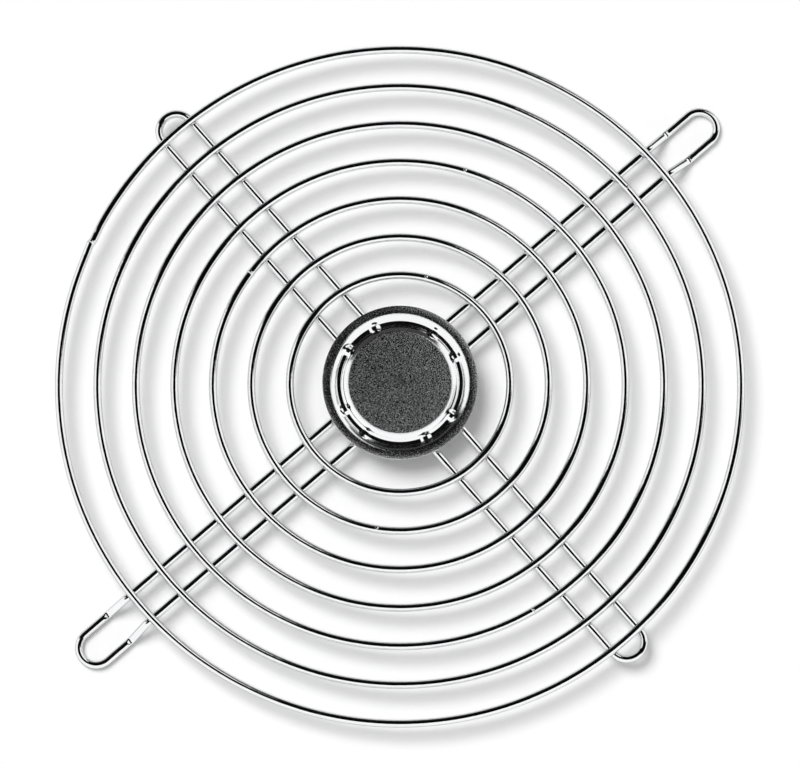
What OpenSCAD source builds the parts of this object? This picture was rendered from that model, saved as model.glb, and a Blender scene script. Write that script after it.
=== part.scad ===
// Wire fan guard: seven concentric wire rings welded on two crossed wire loops, with a pressed disc over the
// hub. The long loop runs along X and is joggled down to two eyelets, which take the fan's screws. Z = 0 is
// the face that the eyelets are screwed down on, and the rings are on the upper, outer side.

/* [Rings] */
// Number of concentric rings
ring_count = 7; // [3:1:7]
// Radius of the innermost ring, to the middle of its wire
inner_ring_r = 22.9; // [20:0.1:25]
// Distance from one ring to the next, wire middle to wire middle
ring_pitch = 8; // [6:0.1:8.5]
// Diameter of the ring wire
ring_wire_d = 1.6; // [1.2:0.1:2]
// How much the upset metal at a ring's butt weld stands out from the wire
weld_flash = 0.06; // [0.03:0.01:0.15]
// Length of the upset metal at a ring's butt weld
weld_flash_l = 0.7; // [0.4:0.1:1.5]
// How far the outer ring's two ends miss each other at their butt weld
end_step = 0.3; // [0.1:0.05:0.5]
// Length of the straight stretch at each end of the outer ring's wire
end_straight_l = 4; // [2:0.5:8]

/* [Loops] */
// Diameter of the loop wire
loop_wire_d = 1.6; // [1.2:0.1:2]
// Clear gap between the long loop's two wires, under the rings
long_gap = 5.1; // [4.5:0.1:6.5]
// Clear gap between the short loop's two wires
short_gap = 5.7; // [4.5:0.1:7]
// How far beyond the outer ring's wire middle the short loop starts its round end
short_overhang = 0.4; // [0.4:0.1:4]
// Middle radius of the bends in the loops' legs
bend_r = 2.5; // [2:0.1:3]
// How far two crossing wires are pressed into each other by the weld
weld_sink = 0.3; // [0.2:0.05:0.5]

/* [Eyelets] */
// Distance between the two fixing screws
mount_spacing = 162; // [156:0.5:172]
// Clear width inside an eyelet, for the screw
screw_gap = 5.6; // [4.4:0.1:6.5]
// How far beyond the screw the eyelet's round end has its centre
screw_to_end = 2.4; // [1.5:0.1:4]
// How far the eyelets lie below the loops' main plane
eyelet_drop = 2.6; // [1.5:0.1:3.5]
// Length along the loop of the sloping stretch down to an eyelet
joggle_run = 4.6; // [4:0.1:5.5]
// Gap from the outer ring's edge to the corner where the slope begins
joggle_gap = 0.6; // [0.5:0.1:1.5]

/* [Hub disc] */
// Outer diameter of the disc
disc_d = 32.3; // [30:0.1:36]
// Thickness of the disc's sheet
disc_sheet = 0.8; // [0.6:0.05:1]
// Radius of the pressed groove's middle
groove_r = 12.6; // [12:0.1:13.5]
// Width of the groove's flat floor
groove_floor_w = 0.6; // [0.6:0.05:1]
// Width of each sloping side of the groove
groove_side_w = 1.3; // [1.1:0.1:1.6]
// Room between the crossing wires and the raised middle of the disc
crossing_room = 0.2; // [0.1:0.05:0.6]
// Bend radius in the sheet, to the middle of its thickness
sheet_bend_r = 0.6; // [0.5:0.05:0.6]
// Chamfer on the disc's cut edge
disc_chamfer = 0.15; // [0.05:0.05:0.25]
// How far the loop wires are pressed into the groove's underside
disc_sink = 0.2; // [0.1:0.05:0.3]
// How far a weld's ridge stands up from the groove's floor
ridge_rise = 0.3; // [0.1:0.05:0.4]
// Width of a weld's ridge
ridge_w = 1.6; // [1.2:0.1:2]
// Length of a weld's ridge, along the wire below it
ridge_l = 1.4; // [1:0.1:1.8]

/* [Hub crossing] */
// Straight stretch of the short loop past each wire that it steps over
step_over = 1.2; // [0.9:0.1:1.6]
// Length of the ramp up to that stretch
ramp_run = 4; // [3.5:0.1:4.5]

/* [Hidden] */
$fn = 96;
// Where each ring is butt welded, counterclockwise from the long loop's +X end, from the inner ring outward
weld_angles = [35, 220, 102, 32, 259, 0, 114];

// A straight run is this much thinner in radius than a bend, and enters it by this length, so that they join
seat_fit = 0.01;
seat_l = 0.1;
// Steps that a bend of the disc's section is drawn in
bend_steps = 8;

// Radii and heights of the wires
outer_ring_r = ring_r(ring_count);
eyelet_z = loop_wire_d / 2;
loop_z = eyelet_z + eyelet_drop;
ring_z = loop_z + (loop_wire_d + ring_wire_d) / 2 - weld_sink;
crossing_z = loop_z + loop_wire_d - weld_sink;

// Half the distance between the two wires of each loop, middle to middle
long_half = (long_gap + loop_wire_d) / 2;
short_half = (short_gap + loop_wire_d) / 2;
eyelet_half = (screw_gap + loop_wire_d) / 2;

// Stations along the loops: the ends of the joggle, and the centres of the round ends
joggle_top_x = outer_ring_r + ring_wire_d / 2 + joggle_gap;
joggle_foot_x = joggle_top_x + joggle_run;
eyelet_end_x = mount_spacing / 2 + screw_to_end;
short_end_x = outer_ring_r + short_overhang;
step_half = long_half + step_over;

// Heights of the disc, to the middle of its sheet
groove_z = loop_z + loop_wire_d / 2 - disc_sink + disc_sheet / 2;
top_z = crossing_z + loop_wire_d / 2 + crossing_room + disc_sheet / 2;

function ring_r(n) = inner_ring_r + (n - 1) * ring_pitch;
function unit(v) = v / norm(v);
function turn(a, b, c) = acos(unit(b - a) * unit(c - b));
function setback(a, b, c, r) = r * tan(turn(a, b, c) / 2);

// Points of one leg from end to end, from those of its half on the +X side
function whole_leg(half) = concat(
    [for (i = [len(half) - 1:-1:0]) [-half[i].x, half[i].y, half[i].z]],
    half
);

long_leg = whole_leg([
    [joggle_top_x, long_half, loop_z],
    [joggle_foot_x, eyelet_half, eyelet_z],
    [eyelet_end_x, eyelet_half, eyelet_z]
]);
short_leg = whole_leg([
    [step_half, short_half, crossing_z],
    [step_half + ramp_run, short_half, loop_z],
    [short_end_x, short_half, loop_z]
]);

// Sets its children at origin, with their X and Z axes along the given unit vectors
module place(origin, x_axis, z_axis) {
    y_axis = cross(z_axis, x_axis);
    multmatrix([
        [x_axis.x, y_axis.x, z_axis.x, origin.x],
        [x_axis.y, y_axis.y, z_axis.y, origin.y],
        [x_axis.z, y_axis.z, z_axis.z, origin.z],
        [0, 0, 0, 1]
    ]) children();
}

// A straight run of wire from a to b, which enters what it meets at both ends
module straight(a, b, d) {
    along = unit(b - a);
    across = unit(cross(along, [0, 0, 1]));
    place(a - along * seat_l, across, along)
        cylinder(d = d - 2 * seat_fit, h = norm(b - a) + 2 * seat_l);
}

// The bend of a wire at b, on its way from a to c
module bend(a, b, c, r, d) {
    along = unit(b - a);
    axis = unit(cross(along, unit(c - b)));
    start = b - along * setback(a, b, c, r);
    centre = start + cross(axis, along) * r;
    place(centre, unit(start - centre), axis)
        rotate_extrude(angle = turn(a, b, c))
            translate([r, 0]) circle(d = d);
}

// A wire that runs through the points, with a bend at each of those between its ends
module run(points, r, d) {
    last = len(points) - 1;
    cut = [
        for (i = [0:last])
            i == 0 || i == last ? 0 : setback(points[i - 1], points[i], points[i + 1], r)
    ];
    for (i = [1:last - 1])
        bend(points[i - 1], points[i], points[i + 1], r, d);
    for (i = [0:last - 1]) {
        along = unit(points[i + 1] - points[i]);
        straight(points[i] + along * cut[i], points[i + 1] - along * cut[i + 1], d);
    }
}

// A closed loop of two legs and two round ends
module wire_loop(leg) {
    tip = leg[len(leg) - 1];
    for (side = [0, 180]) rotate(side) {
        run(leg, bend_r, loop_wire_d);
        translate([tip.x, 0, tip.z]) rotate(-90)
            rotate_extrude(angle = 180)
                translate([tip.y, 0]) circle(d = loop_wire_d);
    }
}

module long_loop_wire() {
    wire_loop(long_leg);
}

module short_loop_wire() {
    rotate(90) wire_loop(short_leg);
}

module both_loops() {
    long_loop_wire();
    short_loop_wire();
}

// Upset metal round a butt weld at angle 0
module flash(r) {
    half_angle = asin(weld_flash_l / 2 / r);
    rotate(-half_angle)
        rotate_extrude(angle = 2 * half_angle)
            translate([r, 0]) circle(d = ring_wire_d + 2 * weld_flash);
}

// A ring rolled true all the way round
module true_ring(r) {
    rotate_extrude() translate([r, 0]) circle(d = ring_wire_d);
}

// A ring whose ends stayed straight when it was rolled, and miss each other at the weld at angle 0
module stepped_ring(r) {
    end_angle = asin(end_straight_l / r);
    rotate(end_angle)
        rotate_extrude(angle = 360 - 2 * end_angle)
            translate([r, 0]) circle(d = ring_wire_d);
    for (side = [-1, 1]) {
        from = r * [cos(end_angle), side * sin(end_angle), 0];
        to = [r + side * end_step / 2, 0, 0];
        straight(from, to, ring_wire_d);
    }
}

// A ring, notched below where it is pressed down on the loops
module ring(n) {
    color("silver") difference() {
        translate([0, 0, ring_z]) rotate(weld_angles[n - 1]) {
            if (n == ring_count) stepped_ring(ring_r(n));
            else true_ring(ring_r(n));
            flash(ring_r(n));
        }
        both_loops();
    }
}

module long_loop() {
    color("silver") long_loop_wire();
}

// The short loop steps over the long loop's two wires, and is notched where it is pressed down on them
module short_loop() {
    color("silver") difference() {
        short_loop_wire();
        long_loop_wire();
    }
}

// Middle line of the disc's section, from the axis to the rim
disc_line = [
    [0, top_z],
    [groove_r - groove_floor_w / 2 - groove_side_w, top_z],
    [groove_r - groove_floor_w / 2, groove_z],
    [groove_r + groove_floor_w / 2, groove_z],
    [groove_r + groove_floor_w / 2 + groove_side_w, top_z],
    [disc_d / 2, top_z]
];

function left_of(v) = [-v.y, v.x];
function sign_of_turn(a, b, c) = sign(cross(b - a, c - b));

// Points beside the bend at b, at the given distance to its left, from its start to its end
function bent(a, b, c, side) =
    let (
        s = sign_of_turn(a, b, c),
        start = b - unit(b - a) * setback(a, b, c, sheet_bend_r),
        centre = start + left_of(unit(b - a)) * sheet_bend_r * s,
        r = sheet_bend_r - side * s,
        from = atan2(start.y - centre.y, start.x - centre.x),
        step = s * turn(a, b, c) / bend_steps
    )
    [for (i = [0:bend_steps]) centre + r * [cos(from + i * step), sin(from + i * step)]];

// One face of the sheet, at the given distance to the left of its middle line
function sheet_face(line, side) = concat(
    [line[0] + [0, side]],
    [for (i = [1:len(line) - 2]) each bent(line[i - 1], line[i], line[i + 1], side)]
);

module disc_section() {
    rim = disc_d / 2;
    edge = [
        [rim - disc_chamfer, top_z - disc_sheet / 2],
        [rim, top_z - disc_sheet / 2 + disc_chamfer],
        [rim, top_z + disc_sheet / 2 - disc_chamfer],
        [rim - disc_chamfer, top_z + disc_sheet / 2]
    ];
    below = sheet_face(disc_line, -disc_sheet / 2);
    above = sheet_face(disc_line, disc_sheet / 2);
    polygon(concat(below, edge, [for (i = [len(above) - 1:-1:0]) above[i]]));
}

// A ridge raised in the groove over a wire that runs along X, centred over the wire
module ridge() {
    r = ridge_w / 2;
    crest_z = groove_z + disc_sheet / 2 + ridge_rise;
    intersection() {
        translate([0, 0, crest_z - r]) {
            rotate([0, 90, 0]) cylinder(d = ridge_w, h = ridge_l - ridge_w / 2, center = true);
            for (end = [-1, 1]) translate([end * (ridge_l / 2 - r / 2), 0, 0]) sphere(r = r + seat_fit);
        }
        translate([0, 0, groove_z]) cylinder(r = ridge_l + ridge_w, h = crest_z);
    }
}

// Ridges over the four places where a loop's wires pass the groove
module ridges(half_gap) {
    along = sqrt(pow(groove_r, 2) - pow(half_gap, 2));
    for (x = [-1, 1], y = [-1, 1])
        translate([x * along, y * half_gap, 0]) ridge();
}

module centre_disc() {
    color("dimgray") difference() {
        union() {
            rotate_extrude() disc_section();
            ridges(long_half);
            rotate(90) ridges(short_half);
        }
        both_loops();
    }
}

for (n = [1:ring_count])
    ring(n);
long_loop();
short_loop();
centre_disc();
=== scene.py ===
# %% [markdown]
# # A wire fan guard, piece by piece
# A fan guard is a finger guard made of plated steel wire: seven round rings lie on two long wire loops that
# cross in the middle, and a small pressed disc covers the crossing. The solids of the part are loaded first.
# They stay where they are, and every new piece is modelled over the solid that it stands for, in metres.
# %% Load the part
import math
import bmesh
import bpy
from mathutils import Matrix, Quaternion, Vector


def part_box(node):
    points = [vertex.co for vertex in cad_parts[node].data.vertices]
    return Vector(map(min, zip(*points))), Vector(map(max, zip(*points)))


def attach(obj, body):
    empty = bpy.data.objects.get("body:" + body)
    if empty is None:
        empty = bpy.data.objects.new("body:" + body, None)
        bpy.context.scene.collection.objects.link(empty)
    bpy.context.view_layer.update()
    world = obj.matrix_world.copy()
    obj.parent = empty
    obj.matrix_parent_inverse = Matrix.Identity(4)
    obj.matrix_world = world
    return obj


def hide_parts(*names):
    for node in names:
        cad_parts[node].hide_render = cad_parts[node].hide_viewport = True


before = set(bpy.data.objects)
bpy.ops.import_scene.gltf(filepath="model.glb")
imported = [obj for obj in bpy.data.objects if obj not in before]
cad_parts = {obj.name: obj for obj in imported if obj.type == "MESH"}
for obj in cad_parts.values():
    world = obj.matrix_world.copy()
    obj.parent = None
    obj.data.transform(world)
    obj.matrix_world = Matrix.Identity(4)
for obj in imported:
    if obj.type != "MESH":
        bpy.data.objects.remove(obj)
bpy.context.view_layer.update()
print("solids:", sorted(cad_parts))

# %% [markdown]
# The few measures that a wire shop would write on its drawing are kept as named values in millimetres times
# MM. The rest is read from the boxes of the solids. A ring's box takes in the upset metal of its weld, and
# the height that comes from it is rounded to a tenth. That leaves the dressed rings 0.1 mm above their solids.
# %% Measures of the wires
MM = 0.001
WIRE_R = 0.8 * MM
BEND_R = 2.5 * MM
RING_R = [-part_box(f"ring_{n}")[0].y - WIRE_R for n in range(1, 8)]
RING_Z = round(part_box("ring_1")[1].z - WIRE_R, 4)
EYELET_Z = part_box("long_loop")[0].z + WIRE_R
LOOP_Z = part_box("long_loop")[1].z - WIRE_R
CROSSING_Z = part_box("short_loop")[1].z - WIRE_R
print("ring radii, mm:", [round(r / MM, 2) for r in RING_R])
print("heights, mm:", [round(z / MM, 2) for z in (EYELET_Z, LOOP_Z, RING_Z, CROSSING_Z)])

# %% [markdown]
# Modelling by hand goes back and forth between object mode and edit mode. These small helpers do what the
# hand does between two tools: drop the old selection, pick parts of the mesh by a test on their place, and
# tidy a finished mesh by merging doubles and turning all its faces outwards.
# %% Helpers for edit mode
def mode(name):
    bpy.ops.object.mode_set(mode=name)


def fresh():
    """Leaves object mode clean, with nothing selected."""
    if bpy.context.object and bpy.context.object.mode != "OBJECT":
        mode("OBJECT")
    bpy.ops.object.select_all(action="DESELECT")


def settle(name):
    """Names the new primitive, puts its place into its mesh and opens it in edit mode, all selected."""
    piece = bpy.context.object
    piece.name = name
    piece.data.name = name
    bpy.ops.object.transform_apply(location=True, rotation=True, scale=True)
    mode("EDIT")
    bpy.ops.mesh.select_all(action="SELECT")
    return piece


def pick(kind, test):
    """Selects the VERT, EDGE or FACE elements whose middle and own data pass the test."""
    bpy.ops.mesh.select_mode(type=kind)
    bpy.ops.mesh.select_all(action="DESELECT")
    net = bmesh.from_edit_mesh(bpy.context.object.data)
    chosen = 0
    for part in {"VERT": net.verts, "EDGE": net.edges, "FACE": net.faces}[kind]:
        ends = [part.co] if kind == "VERT" else [v.co for v in part.verts]
        middle = sum(ends, Vector()) / len(ends)
        if test(middle, part):
            part.select_set(True)
            chosen += 1
    net.select_flush_mode()
    bmesh.update_edit_mesh(bpy.context.object.data)
    return chosen


def tidy(piece):
    """Merges doubles, turns the faces outwards and smooths the shading."""
    mode("EDIT")
    bpy.ops.mesh.select_all(action="SELECT")
    bpy.ops.mesh.remove_doubles(threshold=0.002 * MM)
    bpy.ops.mesh.normals_make_consistent(inside=False)
    mode("OBJECT")
    bpy.ops.object.shade_smooth()
    triangles = sum(len(face.vertices) - 2 for face in piece.data.polygons)
    print(f"{piece.name}: {triangles} triangles")
    return piece


def polar(radius, degrees, height):
    turn = math.radians(degrees)
    return Vector((radius * math.cos(turn), radius * math.sin(turn), height))


# %% [markdown]
# Real wire is fed through a bending machine that only knows two moves: feed it forward, or turn it round a
# pin. The bench does the same with a circle of vertices. Feeding is an extrude, turning is a spin, and the
# open end stays selected for the next move. A tube along a curve would be quicker, but the bench gives
# control of every station, so that a weld can be upset and a bend can be crimped where the real ones are.
# %% The wire bench
FACETS = 28


class Bench:
    def __init__(self, name, place, heading):
        fresh()
        self.place = Vector(place)
        self.heading = Vector(heading).normalized()
        tilt = self.heading.to_track_quat("Z", "Y").to_euler()
        bpy.ops.mesh.primitive_circle_add(vertices=FACETS, radius=WIRE_R, location=place, rotation=tilt)
        self.piece = settle(name)
        self.girth = 1.0

    def feed(self, target, steps=1, swell=None):
        """Extrudes the end to the target in equal steps, or with a new girth at each step."""
        move = (Vector(target) - self.place) / (len(swell) if swell else steps)
        for girth in swell or [None] * steps:
            bpy.ops.mesh.extrude_region_move(TRANSFORM_OT_translate={"value": move})
            self.place = self.place + move
            if girth:
                size = girth / self.girth
                bpy.ops.transform.resize(value=(size, size, size), center_override=self.place)
                self.girth = girth

    def turn(self, centre, axis, degrees, steps):
        """Spins the end round a pin, counterclockwise about the axis."""
        angle = math.radians(degrees)
        bpy.ops.mesh.spin(steps=steps, angle=-angle, center=centre, axis=axis)
        swing = Quaternion(axis, angle)
        self.place = Vector(centre) + swing @ (self.place - Vector(centre))
        self.heading = swing @ self.heading

    def bend(self, corner, onward, radius, steps):
        """Feeds up to the bend at a corner, and turns the wire towards the next corner."""
        aim = (Vector(onward) - Vector(corner)).normalized()
        angle = self.heading.angle(aim)
        axis = self.heading.cross(aim).normalized()
        self.feed(Vector(corner) - self.heading * radius * math.tan(angle / 2))
        self.turn(self.place + axis.cross(self.heading) * radius, axis, math.degrees(angle), steps)


# %% [markdown]
# The rings are rolled from straight wire and their two ends are butt welded, which upsets a thin collar of
# metal. A ring is turned on the bench from one side of its weld right round to the other, and the last
# millimetre is fed with a changing girth: a neck, the collar, and a neck again. Each ring has its weld at
# its own place. The outer ring's ends stayed straight for 4 mm and miss each other a little.
# %% The rings
WELD_ANGLES = [35, 220, 102, 32, 259, 0, 114]
COLLAR = [1.0, 0.97, 1.0, 1.065, 1.1, 1.065, 1.0, 0.97, 1.0]
COLLAR_L = 0.9 * MM
RING_STEPS = 216


def round_ring(name, radius, weld):
    half = math.degrees(COLLAR_L / 2 / radius)
    start = polar(radius, weld + half, RING_Z)
    bench = Bench(name, start, polar(1, weld + half + 90, 0))
    bench.turn((0, 0, RING_Z), (0, 0, 1), 360 - 2 * half, RING_STEPS)
    bench.feed(start, swell=COLLAR)
    return bench.piece


def stepped_ring(name, radius, weld):
    end = math.degrees(math.asin(4 * MM / radius))
    half = math.degrees(COLLAR_L / 2 / radius)
    outer = polar(radius + 0.15 * MM, weld + half, RING_Z)
    inner = polar(radius - 0.15 * MM, weld - half, RING_Z)
    bench = Bench(name, outer, polar(1, weld + 90, 0))
    bench.feed(polar(radius, weld + end, RING_Z), steps=2)
    bench.turn((0, 0, RING_Z), (0, 0, 1), 360 - 2 * end, RING_STEPS)
    bench.feed(inner, steps=2)
    bench.feed(outer, swell=COLLAR)
    return bench.piece


rings = []
for number, (radius, weld) in enumerate(zip(RING_R, WELD_ANGLES), start=1):
    make = stepped_ring if number == 7 else round_ring
    rings.append(tidy(make(f"ring_wire_{number}", radius, weld)))

# %% [markdown]
# The rings are resistance welded to the loops: two electrodes press the wires together until they sink into
# each other, and a little metal is squeezed out round the spot. That bead is a squashed ball between the two
# wires. One bead is modelled, copied to every crossing of a ring, and joined to that ring.
# %% Weld beads where the rings cross the loops
LONG_HALF = 3.35 * MM
SHORT_HALF = 3.65 * MM
BEAD_Z = (LOOP_Z + RING_Z) / 2


def model_bead():
    fresh()
    bpy.ops.mesh.primitive_uv_sphere_add(segments=16, ring_count=8, radius=0.9 * MM)
    bead = settle("bead")
    bpy.ops.transform.resize(value=(1, 1, 0.36))
    pick("VERT", lambda middle, part: abs(middle.z) < 0.1 * MM)
    bpy.ops.transform.translate(
        value=(0, 0, -0.04 * MM), use_proportional_edit=True, proportional_size=0.6 * MM
    )
    return tidy(bead)


def crossings(radius):
    """Where a ring of this radius passes over the four legs of each loop."""
    along_long = math.sqrt(radius ** 2 - LONG_HALF ** 2)
    along_short = math.sqrt(radius ** 2 - SHORT_HALF ** 2)
    for a in (1, -1):
        for b in (1, -1):
            yield Vector((a * along_long, b * LONG_HALF, BEAD_Z))
            yield Vector((b * SHORT_HALF, a * along_short, BEAD_Z))


def copied(pattern, place):
    twin = pattern.copy()
    twin.data = pattern.data.copy()
    twin.data.transform(Matrix.Translation(place))
    bpy.context.collection.objects.link(twin)
    return twin


def joined(piece, parts):
    fresh()
    for part in parts:
        part.select_set(True)
    piece.select_set(True)
    bpy.context.view_layer.objects.active = piece
    bpy.ops.object.join()
    return piece


bead = model_bead()
for ring, radius in zip(rings, RING_R):
    joined(ring, [copied(bead, place) for place in crossings(radius)])
print("beads on each ring:", len(list(crossings(RING_R[0]))))

# %% [markdown]
# The long loop is one wire. Its two legs run side by side under the rings, are joggled down to the fan's
# housing outside the outer ring, and close in a round eyelet at each end. The bench walks round it once:
# half a leg, the joggle, the eyelet, the joggle back, and the same again for the other end.
# %% The long loop
EYELET_HALF = 3.6 * MM
JOGGLE_TOP = 72.3 * MM
JOGGLE_FOOT = 76.9 * MM
EYELET_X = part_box("long_loop")[1].x - WIRE_R - EYELET_HALF


def long_loop():
    bench = Bench("long_loop_wire", (0, LONG_HALF, LOOP_Z), (1, 0, 0))
    for end in (1, -1):
        top = Vector((end * JOGGLE_TOP, end * LONG_HALF, LOOP_Z))
        foot = Vector((end * JOGGLE_FOOT, end * EYELET_HALF, EYELET_Z))
        tip = Vector((end * EYELET_X, end * EYELET_HALF, EYELET_Z))
        flip = Vector((1, -1, 1))
        bench.bend(top, foot, BEND_R, 10)
        bench.bend(foot, tip, BEND_R, 10)
        bench.feed(bench.place + Vector((end * 2 * MM, 0, 0)), steps=10)
        bench.feed(tip)
        bench.turn((end * EYELET_X, 0, EYELET_Z), (0, 0, 1), -180, 40)
        bench.feed(foot * flip + Vector((end * 3 * MM, 0, 0)))
        bench.feed(foot * flip + Vector((end * 1.3 * MM, 0, 0)), steps=8)
        bench.bend(foot * flip, top * flip, BEND_R, 10)
        bench.bend(top * flip, Vector((0, -end * LONG_HALF, LOOP_Z)), BEND_R, 10)
        bench.feed((0, -end * LONG_HALF, LOOP_Z))
    return tidy(bench.piece)


long_wire = long_loop()

# %% [markdown]
# The short loop crosses the long one. Its legs step up over the long loop's wires in the middle, where the
# disc hides most of the step, and its round ends stop just outside the outer ring.
# %% The short loop
SHORT_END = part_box("short_loop")[1].y - WIRE_R - SHORT_HALF
STEP_Y = 4.55 * MM
RAMP_Y = 8.55 * MM


def short_loop():
    bench = Bench("short_loop_wire", (-SHORT_HALF, 0, CROSSING_Z), (0, 1, 0))
    for end in (1, -1):
        side = -end * SHORT_HALF
        bench.bend((side, end * STEP_Y, CROSSING_Z), (side, end * RAMP_Y, LOOP_Z), BEND_R, 8)
        bench.bend((side, end * RAMP_Y, LOOP_Z), (side, end * SHORT_END, LOOP_Z), BEND_R, 8)
        bench.feed((side, end * SHORT_END, LOOP_Z))
        bench.turn((0, end * SHORT_END, LOOP_Z), (0, 0, 1), -180, 40)
        bench.bend((-side, end * RAMP_Y, LOOP_Z), (-side, end * STEP_Y, CROSSING_Z), BEND_R, 8)
        bench.bend((-side, end * STEP_Y, CROSSING_Z), (-side, 0, CROSSING_Z), BEND_R, 8)
        bench.feed((-side, 0, CROSSING_Z))
    return tidy(bench.piece)


short_wire = short_loop()

# %% [markdown]
# Where the joggle meets the eyelet, the tool that set the bend left a crimp across the top of the wire. A few
# vertices on top of the bend are pushed down with a soft falloff, as a thumb would push clay.
# %% Crimps at the foot of the joggles
def push(piece, spot, reach, move, soft):
    """Moves the vertices within reach of a spot, and drags their neighbours along."""
    fresh()
    piece.select_set(True)
    bpy.context.view_layer.objects.active = piece
    mode("EDIT")
    moved = pick("VERT", lambda middle, part: (middle - spot).length < reach)
    bpy.ops.transform.translate(
        value=move, use_proportional_edit=True, proportional_size=soft,
        proportional_edit_falloff="SMOOTH", use_proportional_connected=True,
    )
    mode("OBJECT")
    return moved


CRIMP_DEPTH = 0.28 * MM
CRIMP_REACH = 0.3 * MM
CRIMP_SOFT = 0.7 * MM
CRIMP_SHIFT = 0.1 * MM
for x in (-1, 1):
    for y in (-1, 1):
        spot = Vector((x * (JOGGLE_FOOT + CRIMP_SHIFT), y * EYELET_HALF, EYELET_Z + WIRE_R))
        count = push(long_wire, spot, CRIMP_REACH, (0, 0, -CRIMP_DEPTH), CRIMP_SOFT)
        print("crimp vertices:", count)

# %% [markdown]
# The disc is pressed from sheet: a flat rim, a round groove that sits down on the wires, and a raised flat
# middle. Its upper face is drawn first as one round face, which is inset again and again: level for a flat,
# and with a depth for a sloping side. The inner side has a fine ledge where the press tool ended.
# %% The disc's upper face
DISC_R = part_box("centre_disc")[1].x
DISC_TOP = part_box("centre_disc")[1].z
GROOVE_DEPTH = 1.0 * MM
GROOVE_FLOOR = DISC_TOP - GROOVE_DEPTH
DISC_STEPS = [(14.35, 0.0), (13.1, -1.0), (12.35, 0.0), (11.8, 0.37), (11.72, 0.0), (10.75, 0.63)]


def disc_face():
    fresh()
    bpy.ops.mesh.primitive_circle_add(
        vertices=288, radius=DISC_R, fill_type="NGON", location=(0, 0, DISC_TOP)
    )
    disc = settle("hub_disc")
    bpy.ops.mesh.select_mode(type="FACE")
    here = DISC_R
    for radius, rise in DISC_STEPS:
        bpy.ops.mesh.inset(thickness=here - radius * MM, depth=rise * MM)
        here = radius * MM
    return disc


disc = disc_face()
mode("OBJECT")
print("disc steps, mm:", sorted({round(v.co.xy.length / MM, 2) for v in disc.data.vertices}))

# %% [markdown]
# Sheet never folds to a sharp corner. The bends get a round each, with the bevel tool on the rings of edges
# that are picked by their radius. The sloping sides are then cut into rows, so that the welds can be shaped.
# Each round below gives the radius of its bend, its own size, both in millimetres, and its segments.
# %% Round the bends of the sheet
DISC_ROUNDS = [(14.35, 0.32, 8), (10.75, 0.14, 4), (13.1, 0.06, 3), (12.35, 0.06, 3)]
SLOPE_CUTS = 6


def at_radius(radius):
    return lambda middle, edge: all(abs(v.co.xy.length - radius) < 0.03 * MM for v in edge.verts)


def slopes(middle, edge):
    """The edges that run down a side of the groove."""
    low, high = sorted(v.co.xy.length for v in edge.verts)
    return high - low > 0.4 * MM and low > 10 * MM and high < 14.7 * MM


mode("EDIT")
for radius, size, steps in DISC_ROUNDS:
    count = pick("EDGE", at_radius(radius * MM))
    bpy.ops.mesh.bevel(offset=size * MM, offset_type="OFFSET", segments=steps)
    print("bevelled edges:", count, "at", radius)
print("edges down the slopes:", pick("EDGE", slopes))
bpy.ops.mesh.subdivide(number_cuts=SLOPE_CUTS)
mode("OBJECT")

# %% [markdown]
# The disc is welded to the wires below it. Each weld raises a ridge over the wire, inside the groove. A few
# vertices over the wire are pulled up, and a soft falloff gives the ridge its flanks.
# %% Ridges over the welds
GROOVE_R = 12.72 * MM
RIDGE_REACH = 0.45 * MM
RIDGE_RISE = 0.42 * MM
RIDGE_SOFT = 1.15 * MM
ridge_spots = []
for a in (1, -1):
    for b in (1, -1):
        long_x = a * math.sqrt(GROOVE_R ** 2 - LONG_HALF ** 2)
        short_y = a * math.sqrt(GROOVE_R ** 2 - SHORT_HALF ** 2)
        ridge_spots.append(Vector((long_x, b * LONG_HALF, GROOVE_FLOOR)))
        ridge_spots.append(Vector((b * SHORT_HALF, short_y, GROOVE_FLOOR)))
for spot in ridge_spots:
    count = push(disc, spot, RIDGE_REACH, (0, 0, RIDGE_RISE), RIDGE_SOFT)
print("ridges:", len(ridge_spots), "with", count, "vertices each")

# %% [markdown]
# Solidify gives the face the thickness of the sheet downwards, and a small bevel breaks the cut edge. Below
# the groove the back of the sheet is moved down until it reaches just into the wires.
# %% Thickness and cut edge
SHEET = 1.0 * MM
RIM_BREAK = 0.06 * MM
UNDERLAP = 0.02 * MM


def applied(piece, kind, **settings):
    fresh()
    piece.select_set(True)
    bpy.context.view_layer.objects.active = piece
    step = piece.modifiers.new(kind.lower(), kind)
    for name, value in settings.items():
        setattr(step, name, value)
    bpy.ops.object.modifier_apply(modifier=step.name)


applied(disc, "SOLIDIFY", thickness=SHEET, offset=-1)
mode("EDIT")
sheet_back = GROOVE_FLOOR - SHEET
under = pick("VERT", lambda middle, part: middle.z < sheet_back + 0.05 * MM)
bpy.ops.transform.translate(value=(0, 0, LOOP_Z + WIRE_R - UNDERLAP - sheet_back))
print("vertices under the groove:", under)
print("rim edges:", pick("EDGE", at_radius(DISC_R)))
bpy.ops.mesh.bevel(offset=RIM_BREAK, segments=2)
mode("OBJECT")
tidy(disc)
print("disc heights, mm:", [round(v / MM, 2) for v in (min(v.co.z for v in disc.data.vertices), DISC_TOP)])

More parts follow.
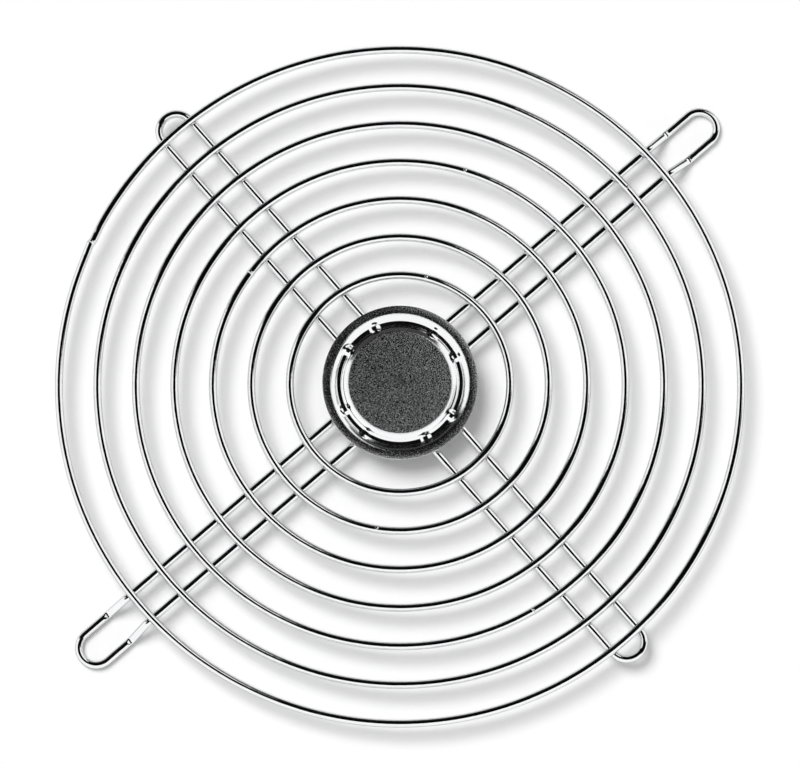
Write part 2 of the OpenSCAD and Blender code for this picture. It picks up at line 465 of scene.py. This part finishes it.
# %% [markdown]
# Finishes are written as sums on sockets. The wrapper keeps one socket and turns +, -, * and / into Math
# nodes, so that a mask or a pattern reads like the formula that it is. Every other node comes from one
# method: its kind, its settings, and the values or links of its inputs.
# %% Shader sums
class Tap:
    """One output socket that can be used in sums."""

    def __init__(self, tree, socket):
        self.tree = tree
        self.socket = socket

    def node(self, kind, settings=None, out=0, **inputs):
        made = self.tree.nodes.new(kind)
        for name, value in (settings or {}).items():
            setattr(made, name, value)
        for name, value in inputs.items():
            key = int(name[1:]) if name[1:].isdigit() else name.replace("_", " ")
            if isinstance(value, Tap):
                self.tree.links.new(value.socket, made.inputs[key])
            else:
                made.inputs[key].default_value = value
        return Tap(self.tree, made.outputs[out])

    def sum(self, operation, *terms):
        values = {f"i{n}": term for n, term in enumerate(terms)}
        return self.node("ShaderNodeMath", {"operation": operation}, **values)

    def __add__(self, other):
        return self.sum("ADD", self, other)

    def __radd__(self, other):
        return self.sum("ADD", other, self)

    def __sub__(self, other):
        return self.sum("SUBTRACT", self, other)

    def __rsub__(self, other):
        return self.sum("SUBTRACT", other, self)

    def __mul__(self, other):
        return self.sum("MULTIPLY", self, other)

    def __rmul__(self, other):
        return self.sum("MULTIPLY", other, self)

    def __truediv__(self, other):
        return self.sum("DIVIDE", self, other)

    def ramp(self, low, high, start=0.0, end=1.0):
        """Goes smoothly from start to end while the value goes from low to high."""
        settings = {"interpolation_type": "SMOOTHSTEP"}
        return self.node("ShaderNodeMapRange", settings, Value=self, i1=low, i2=high, i3=start, i4=end)


def root(x, y):
    return x.sum("SQRT", x * x + y * y)


def split(vector):
    """The three parts of a vector."""
    first = vector.node("ShaderNodeSeparateXYZ", Vector=vector)
    parts = first.socket.node
    return [Tap(vector.tree, parts.outputs[n]) for n in range(3)]


def blank(name):
    material = bpy.data.materials.new(name)
    material.use_nodes = True
    tree = material.node_tree
    tree.nodes.clear()
    place = Tap(tree, tree.nodes.new("ShaderNodeTexCoord").outputs["Object"])
    shader = tree.nodes.new("ShaderNodeBsdfPrincipled")
    output = tree.nodes.new("ShaderNodeOutputMaterial")
    tree.links.new(shader.outputs["BSDF"], output.inputs["Surface"])
    return material, place, shader


def wire_up(shader, **inputs):
    for name, value in inputs.items():
        socket = shader.inputs[name.replace("_", " ")]
        if isinstance(value, Tap):
            value.tree.links.new(value.socket, socket)
        else:
            socket.default_value = value


# %% [markdown]
# Bright plated wire mirrors the studio almost without blur. What tells it from a perfect mirror is fine:
# drawing marks run along the wire, the plating is a little thicker and softer in places, and the whole
# surface waves very slightly. The marks must follow the wire, so the material is made three times: round
# the centre for the rings, along X for the long loop and along Y for the short loop. A black edge tint keeps
# the outline of the wire dark against the white card.
# %% Bright plating on the wires
EDGE = (0.0, 0.0, 0.0, 1)
WIRE_RELIEF = 0.012 * MM


def plated_wire(name, way):
    material, place, shader = blank(name)
    x, y, z = split(place)
    if way == "round":
        distance = root(x, y)
        along = distance.sum("ARCTAN2", y, x) * 0.05
        across = distance
    else:
        along, across = (x, y) if way == "x" else (y, x)
    marks_at = place.node("ShaderNodeCombineXYZ", X=along * 300, Y=across * 9000, Z=z * 9000)
    marks = place.node("ShaderNodeTexNoise", Vector=marks_at, Scale=1.0, Detail=2.0, Roughness=0.6)
    clouds = place.node("ShaderNodeTexNoise", Vector=place, Scale=260.0, Detail=3.0, Roughness=0.55)
    pits = place.node("ShaderNodeTexNoise", Vector=place, Scale=5200.0, Detail=1.0)
    softness = 0.04 + 0.04 * clouds.ramp(0.35, 0.75) + 0.05 * marks.ramp(0.5, 0.8)
    relief = marks * 0.35 + clouds * 3.0 + pits * 0.15
    bump = place.node("ShaderNodeBump", Strength=1.0, Distance=WIRE_RELIEF, Height=relief)
    tint = place.node(
        "ShaderNodeMix", {"data_type": "RGBA"}, out=2,
        Factor=clouds.ramp(0.3, 0.8), i6=(0.88, 0.885, 0.89, 1), i7=(0.83, 0.835, 0.845, 1),
    )
    wire_up(shader, Metallic=1.0, Base_Color=tint, Roughness=softness, Normal=bump, Specular_Tint=EDGE)
    return material


ring_plating = plated_wire("ring_plating", "round")
long_plating = plated_wire("long_loop_plating", "x")
short_plating = plated_wire("short_loop_plating", "y")
print("wire materials:", ring_plating.name, long_plating.name, short_plating.name)

# %% [markdown]
# The disc is plated like the wires, but its sheet was not polished. Its flats keep a fine grain that breaks
# the mirror into bright and dark specks. The groove was burnished by the press tool, so it is smoother and
# brighter. One mask of the radius tells the two apart, and a second gives the middle a stronger grain than
# the rim.
# %% Grained plating on the disc
SHEET_RELIEF = 0.05 * MM


def plated_sheet(name):
    material, place, shader = blank(name)
    x, y, z = split(place)
    distance = root(x, y)
    burnished = distance.ramp(10.5 * MM, 11.2 * MM) * distance.ramp(14.0 * MM, 15.0 * MM, 1.0, 0.0)
    grain = place.node("ShaderNodeTexNoise", Vector=place, Scale=3600.0, Detail=2.0, Roughness=0.7)
    specks = place.node("ShaderNodeTexVoronoi", Vector=place, Scale=3400.0)
    clouds = place.node("ShaderNodeTexNoise", Vector=place, Scale=300.0, Detail=3.0)
    flat = 1 - burnished
    middle = distance.ramp(10.5 * MM, 11.2 * MM, 1.0, 0.0)
    glint = specks.ramp(0.15, 0.4, 1.0, 0.0) * grain.ramp(0.42, 0.58)
    softness = 0.1 + flat * (0.1 + 0.16 * glint) - middle * (0.12 + 0.14 * glint)
    softness = softness + 0.05 * clouds.ramp(0.35, 0.7)
    relief = grain * (0.1 + 1.1 * flat + 0.9 * middle) + clouds * 0.5
    bump = place.node("ShaderNodeBump", Strength=1.0, Distance=SHEET_RELIEF, Height=relief)
    tint = place.node(
        "ShaderNodeMix", {"data_type": "RGBA"}, out=2,
        Factor=flat * (1 - 0.55 * glint), i6=(0.86, 0.865, 0.87, 1), i7=(0.62, 0.625, 0.63, 1),
    )
    wire_up(shader, Metallic=1.0, Base_Color=tint, Roughness=softness, Normal=bump)
    return material


sheet_plating = plated_sheet("disc_plating")
print("sheet material:", sheet_plating.name)

# %% [markdown]
# Each new piece stands for one solid, takes its finish, and rides on the one body of the guard.
# %% Dress the part
def dress(piece, node, plating):
    piece.data.materials.clear()
    piece.data.materials.append(plating)
    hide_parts(node)
    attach(piece, "root")


for number, ring in enumerate(rings, start=1):
    dress(ring, f"ring_{number}", ring_plating)
dress(long_wire, "long_loop", long_plating)
dress(short_wire, "short_loop", short_plating)
dress(disc, "centre_disc", sheet_plating)
fresh()
bpy.data.objects.remove(bead)
print("dressed pieces:", len(rings) + 3)

# %% [markdown]
# The guard lies flat on a white table. The table is a wide round sheet of white card. Its edge is far
# outside the view, so that it fills everything below the horizon in the mirror of the wires too.
# %% The table
fresh()
bpy.ops.mesh.primitive_circle_add(vertices=64, radius=2.0, fill_type="NGON", location=(0, 0, 0))
table = settle("table")
mode("OBJECT")
card, place, shader = blank("white_card")
fleck = place.node("ShaderNodeTexNoise", Vector=place, Scale=900.0, Detail=2.0)
wire_up(shader, Base_Color=(0.98, 0.98, 0.98, 1), Roughness=0.9 + 0.1 * fleck, Specular_IOR_Level=0.0)
table.data.materials.append(card)
print("table radius, m:", round(table.dimensions.x / 2, 2))

# %% [markdown]
# Chrome shows the room and nothing of itself, so the room is designed for it. It is a white tent with four
# dark places: an opening round the zenith, where the lens looks in, and three black flags. A wide flag and a
# slanted one hang on the far side, and a third hangs low on the right. All have soft edges.
# %% The tent
world = bpy.data.worlds.new("tent")
bpy.context.scene.world = world
world.use_nodes = True
tree = world.node_tree
tree.nodes.clear()
ray = Tap(tree, tree.nodes.new("ShaderNodeTexCoord").outputs["Generated"])
x, y, z = split(ray)
CAMERA_TURN = math.radians(-41.05)
right = x * math.cos(CAMERA_TURN) + y * math.sin(CAMERA_TURN)
ahead = y * math.cos(CAMERA_TURN) - x * math.sin(CAMERA_TURN)


def flag_between(start, end, soft=3):
    """A flag that hangs from the zenith to the table, between two directions in degrees."""
    middle = math.radians((start + end) / 2)
    half = (end - start) / 2
    reach = x.sum("MAXIMUM", root(x, y), 0.001)
    facing = (right * math.cos(middle) + ahead * math.sin(middle)) / reach
    return facing.ramp(math.cos(math.radians(half + soft)), math.cos(math.radians(half - soft)))


def beyond(value, edge, soft=0.04):
    """Whether a sum is past an edge, with a soft step."""
    return value.ramp(edge - soft, edge + soft)


WHITE = 1.08
BLACK = 0.002
HAZE = 0.06
OPENING_WIDE = 0.6
OPENING_DEEP = 0.43
above = z.ramp(-0.12, -0.03)
big_flag = flag_between(71, 147)
slanted = flag_between(42, 92) * beyond(ahead * 0.648 - right * 0.648 - z * 0.402, 0.0)
low_edge = beyond(ahead + z * 0.55, -0.1)
near_edge = beyond(ahead + right * 0.62, 0.0)
far_edge = beyond(right * 0.1 - ahead, -0.03)
side_flag = low_edge * (near_edge * far_edge * beyond(right, 0.05)) * z.ramp(0.34, 0.6)
wide = (right + 0.03) / OPENING_WIDE
deep = (ahead - 0.06) / OPENING_DEEP
opening = (wide * wide + deep * deep).ramp(0.88, 1.12, 1.0, 0.0)
flags = x.sum("MAXIMUM", x.sum("MAXIMUM", big_flag, slanted), side_flag) * above
dark = x.sum("MAXIMUM", flags, opening)
shade = BLACK + HAZE * z.ramp(0.15, 0.7, 1.0, 0.0)
glow = WHITE + dark * (shade - WHITE)
path = tree.nodes.new("ShaderNodeLightPath")
seen = Tap(tree, path.outputs["Is Camera Ray"])
mirrored = Tap(tree, path.outputs["Is Glossy Ray"]) + Tap(tree, path.outputs["Is Transmission Ray"])
FILL = 0.45
strength = FILL + mirrored * (glow - FILL)
strength = strength + seen * (1.0 - strength)
back = ray.node("ShaderNodeBackground", Color=(1, 1, 1, 1), Strength=strength)
finish = tree.nodes.new("ShaderNodeOutputWorld")
tree.links.new(back.socket, finish.inputs["Surface"])
print("tent nodes:", len(tree.nodes))

# %% [markdown]
# One large soft lamp stands beyond the guard on its left, so that the shadows fall to the lower right. It
# lights the table but is hidden from the mirror of the wires, because the tent already has it.
# %% The lamp
LAMP_TURN = 94.4
LAMP_RISE = 57
bpy.ops.object.light_add(type="SUN")
lamp = bpy.context.object
lamp.name = "soft_lamp"
lamp.data.energy = 2.15
lamp.data.angle = math.radians(34)
lamp_from = polar(math.cos(math.radians(LAMP_RISE)), LAMP_TURN, math.sin(math.radians(LAMP_RISE)))
lamp.rotation_euler = lamp_from.to_track_quat("Z", "Y").to_euler()
lamp.visible_glossy = False
print("lamp height over the horizon, degrees:", round(math.degrees(math.asin(lamp_from.z))))

# %% [markdown]
# The camera looks down on the guard from a little to one side, with a long lens, so that the rings stay
# almost round.
# %% The camera
CAMERA_RISE = math.radians(81.1)
CAMERA_FAR = 1.2
AIM_AHEAD = 0.33 * MM
VIEW_WIDTH = 166.3 * MM
bpy.ops.object.camera_add()
camera = bpy.context.object
camera.name = "camera"
away = Vector((
    math.sin(CAMERA_TURN) * math.cos(CAMERA_RISE),
    -math.cos(CAMERA_TURN) * math.cos(CAMERA_RISE),
    math.sin(CAMERA_RISE),
))
aim = polar(AIM_AHEAD, 90 + math.degrees(CAMERA_TURN), RING_Z)
camera.rotation_euler = away.to_track_quat("Z", "Y").to_euler()
camera.location = aim + away * CAMERA_FAR
camera.data.sensor_width = 36
camera.data.lens = camera.data.sensor_width * CAMERA_FAR / VIEW_WIDTH
camera.data.clip_start = 0.01
camera.data.clip_end = 20
bpy.context.scene.camera = camera
bpy.context.scene.view_settings.view_transform = "Standard"
print("lens, mm:", round(camera.data.lens, 1))
